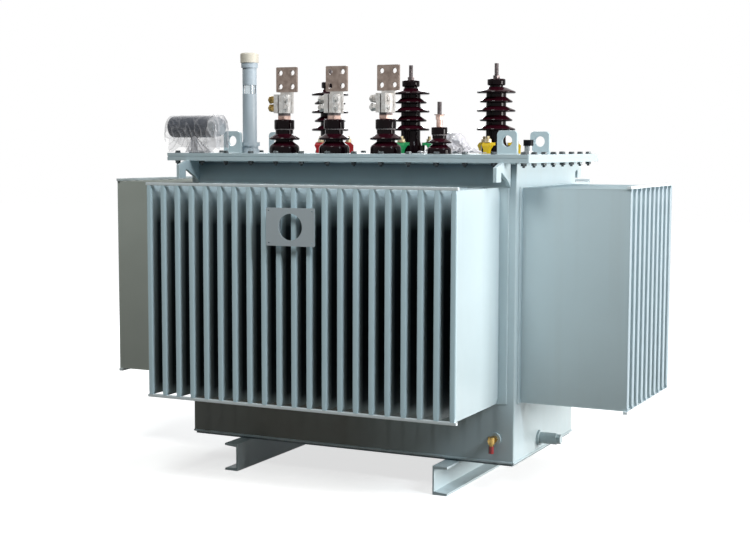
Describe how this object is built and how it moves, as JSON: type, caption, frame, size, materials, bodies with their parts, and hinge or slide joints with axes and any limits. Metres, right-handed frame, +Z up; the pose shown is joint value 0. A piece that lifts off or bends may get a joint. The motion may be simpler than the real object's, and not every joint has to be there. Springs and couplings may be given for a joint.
{
  "type": "oil-filled distribution transformer",
  "caption": "Oil-filled power transformer: corrugated cooling walls on a welded tank, porcelain bushings and fittings on a bolted cover, standing on base channels.",
  "frame": {"origin": "on the ground under the middle of the tank", "axes": "+Z up, +X along the tank's long side, -Y towards the low-voltage side"},
  "size_m": [1.62, 1.12, 1.219],
  "materials": {
    "tank_paint": "satin",
    "floor_paint": "satin",
    "gasket_rubber": "matte",
    "porcelain": "gloss",
    "terminal_metal": "satin",
    "clamp_red": "gloss",
    "clamp_green": "gloss",
    "clamp_yellow": "gloss",
    "seal_grey": "matte",
    "stud_copper": "satin",
    "tinned_copper": "satin",
    "pipe_paint": "satin",
    "sight_glass": "gloss",
    "cap_cream": "matte",
    "fitting_zinc": "satin",
    "cap_black": "matte",
    "instrument_grey": "satin",
    "instrument_pale": "satin",
    "packing_film": "gloss",
    "valve_brass": "satin",
    "cap_red": "gloss"
  },
  "bodies": {
    "root": {"base_channel_left": "tank_paint", "base_channel_right": "tank_paint", "floor_plate": "floor_paint", "tank_body": "tank_paint", "fin_wall_front": "tank_paint", "fin_wall_back": "tank_paint", "fin_wall_left": "tank_paint", "fin_wall_right": "tank_paint", "fin_bars": "tank_paint", "tank_flange": "tank_paint", "cover_gasket": "gasket_rubber", "cover_plate": "tank_paint", "lifting_lugs": "tank_paint", "tank_hooks": "tank_paint", "hv_bushing_left": "porcelain", "hv_bushing_middle": "porcelain", "hv_bushing_right": "porcelain", "hv_terminals": "terminal_metal", "hv_clamps_left": "clamp_red", "hv_clamps_middle": "clamp_green", "hv_clamps_right": "clamp_yellow", "lv_bushing_left": "porcelain", "lv_bushing_middle": "porcelain", "lv_bushing_right": "porcelain", "neutral_bushing": "porcelain", "lv_seals": "seal_grey", "lv_caps": "porcelain", "lv_terminals": "stud_copper", "lv_connector_left": "tinned_copper", "lv_connector_middle": "tinned_copper", "lv_connector_right": "tinned_copper", "oil_pipe": "pipe_paint", "sight_glass": "sight_glass", "filler_cap": "cap_cream", "vent_body": "fitting_zinc", "vent_cap": "cap_black", "tap_changer": "fitting_zinc", "tap_changer_film": "packing_film", "instrument_housing": "instrument_grey", "instrument_head": "instrument_pale", "instrument_film": "packing_film", "nameplate_carrier": "tank_paint", "sample_valve": "valve_brass", "sample_valve_cap": "cap_red", "drain_stub": "tank_paint"}
  },
  "joints": []
}
